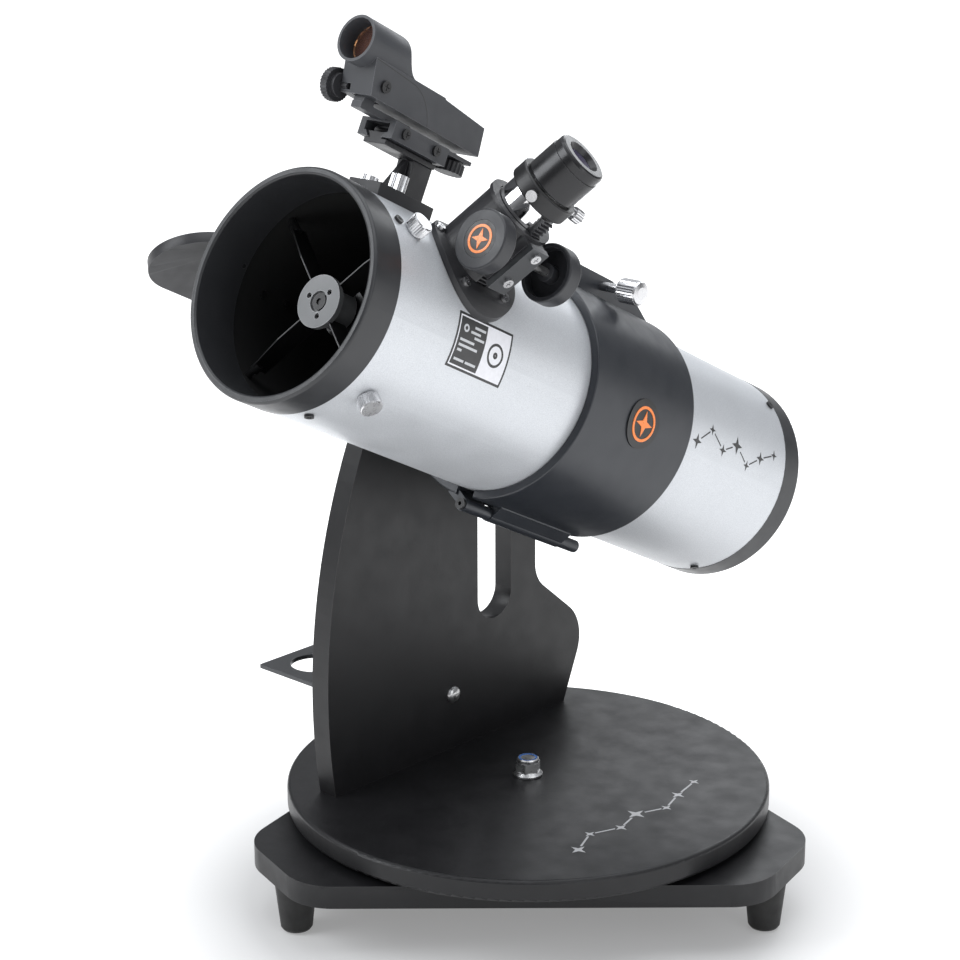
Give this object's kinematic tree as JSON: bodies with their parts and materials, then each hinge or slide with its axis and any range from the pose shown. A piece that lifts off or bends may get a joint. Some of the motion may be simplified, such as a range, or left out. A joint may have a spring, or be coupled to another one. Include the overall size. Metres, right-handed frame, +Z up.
{
  "type": "tabletop dobsonian telescope",
  "caption": "Short reflector telescope in a clamshell cradle on a one-arm rocker base, with rack and pinion focuser, reflex finder and swivelling turntable.",
  "frame": {"origin": "bottom centre of the bounding box at rest, on the plane the feet stand on", "axes": "+Z up; the tube points to -Y and 27 degrees up; +X is the focuser side, -X the side of the arm"},
  "size_m": [0.3553, 0.4695, 0.5953],
  "materials": {
    "board_black": "black laminate, satin",
    "foot_rubber": "moulded rubber",
    "zinc_steel": "zinc plated",
    "nylon_blue": "nylon",
    "ptfe_white": "low friction plastic",
    "tube_silver": "metallic silver paint",
    "ring_gloss": "semi gloss moulding",
    "black_metal": "matt black",
    "hub_grey": "moulded grey",
    "chrome": "bright plated",
    "knurled_steel": "turned and knurled",
    "black_plastic": "fine textured moulding",
    "mirror_glass": "aluminised",
    "cradle_paint": "die casting, satin charcoal paint",
    "badge_orange": "printed",
    "grey_plate": "satin grey",
    "optic_glass": "coated",
    "amber_glass": "reflective coating"
  },
  "bodies": {
    "ground": {"ground_board": "board_black", "feet": "foot_rubber", "foot_screws": "zinc_steel", "azimuth_bolt": "zinc_steel", "azimuth_nut": "zinc_steel", "nut_insert": "nylon_blue", "glide_pads": "ptfe_white"},
    "turntable": {"turntable": "board_black", "side_arm": "board_black", "arm_screws": "zinc_steel", "rack_bolt": "zinc_steel", "eyepiece_rack": "grey_plate", "bearing_plate": "ptfe_white"},
    "altitude_knob": {"altitude_knob": "black_plastic"},
    "ring_half": {"ring_opening": "cradle_paint", "ring_badge": "badge_orange"},
    "clamp_screw": {"clamp_screw": "knurled_steel"},
    "draw_tube": {"draw_tube": "chrome", "focus_rack": "black_plastic", "eyepiece_holder": "black_metal", "holder_screws": "chrome"},
    "focus_knobs": {"pinion_shaft": "zinc_steel", "focus_knobs": "black_plastic", "knob_badges": "badge_orange"},
    "eyepiece": {"eyepiece_barrel": "chrome", "eyepiece_body": "ring_gloss", "eyepiece_lenses": "optic_glass"},
    "lock_screw": {"lock_screw": "knurled_steel"},
    "finder_head": {"finder_housing": "black_plastic", "finder_lens": "amber_glass"},
    "finder_dial": {"finder_dial": "black_plastic"},
    "finder_adjuster": {"finder_adjuster": "black_plastic"},
    "tube": {"optical_tube": "tube_silver", "front_ring": "ring_gloss", "rear_ring": "ring_gloss", "end_screws": "black_metal", "spider_vanes": "black_metal", "spider_hub": "hub_grey", "vane_nuts": "knurled_steel", "hub_screws": "black_metal", "secondary_holder": "black_metal", "secondary_mirror": "mirror_glass", "primary_mirror": "mirror_glass", "mirror_clips": "black_plastic", "mirror_cell": "black_plastic", "collimation_screws": "knurled_steel", "cell_springs": "zinc_steel", "ring_fixed": "cradle_paint", "hinge_pin": "zinc_steel", "altitude_bolt": "zinc_steel", "focuser_body": "black_plastic", "focuser_screws": "chrome", "pinion_cover": "grey_plate", "finder_bracket": "black_plastic", "bracket_nuts": "knurled_steel", "finder_clamp": "black_plastic", "dock_tray": "black_plastic", "dock_bracket": "black_plastic", "dock_screws": "black_metal", "finder_screws": "black_metal"}
  },
  "joints": [
    {"name": "azimuth", "type": "hinge", "parent": "ground", "child": "turntable", "pos_m": [-0.015, 0.026, 0.0542], "axis": [0, 0, 1], "continuous": true},
    {"name": "altitude", "type": "hinge", "parent": "turntable", "child": "tube", "pos_m": [0, 0.03, 0.3313], "axis": [-1, 0, 0], "range_deg": [-27, 62.9]},
    {"name": "altitude_tension", "type": "hinge", "parent": "tube", "child": "altitude_knob", "pos_m": [-0.1086, 0.03, 0.3313], "axis": [1, 0, 0], "range_deg": [-90, 360]},
    {"name": "ring_half_open", "type": "hinge", "parent": "tube", "child": "ring_half", "pos_m": [0.004, -0.00668, 0.25953], "axis": [0, 0.8905, -0.4551], "range_deg": [0, 75]},
    {"name": "clamp_screw_travel", "type": "slide", "parent": "ring_half", "child": "clamp_screw", "axis": [-1, 0, 0], "range_m": [0, 0.0148]},
    {"name": "focus_travel", "type": "slide", "parent": "tube", "child": "draw_tube", "axis": [0.6574, 0.3429, 0.671], "range_m": [-0.012, 0.024]},
    {"name": "focus_knob_turn", "type": "hinge", "parent": "tube", "child": "focus_knobs", "pos_m": [0.08422, -0.09387, 0.45963], "axis": [0, 0.8905, -0.4551], "range_deg": [-144, 288]},
    {"name": "eyepiece_slide", "type": "slide", "parent": "draw_tube", "child": "eyepiece", "axis": [0.6574, 0.3429, 0.671], "range_m": [0, 0.026]},
    {"name": "lock_screw_turn", "type": "hinge", "parent": "draw_tube", "child": "lock_screw", "pos_m": [0.09041, -0.05944, 0.48456], "axis": [0.195, 0.7827, -0.5911], "range_deg": [0, 360]},
    {"name": "finder_tilt", "type": "hinge", "parent": "tube", "child": "finder_head", "pos_m": [0, -0.12908, 0.55489], "axis": [-1, 0, 0], "range_deg": [-1.2, 1.2]},
    {"name": "finder_dial_turn", "type": "hinge", "parent": "finder_head", "child": "finder_dial", "pos_m": [-0.018, -0.13861, 0.55448], "axis": [-1, 0, 0], "range_deg": [0, 270]},
    {"name": "finder_adjust_turn", "type": "hinge", "parent": "tube", "child": "finder_adjuster", "pos_m": [0, -0.06308, 0.49791], "axis": [0, 0.4551, 0.8905], "range_deg": [-180, 180]}
  ],
  "couplings": [
    {"joint": "focus_knob_turn", "follows": "focus_travel", "rad_per_m": 208.33},
    {"joint": "finder_adjust_turn", "follows": "finder_tilt", "ratio": 150}
  ]
}
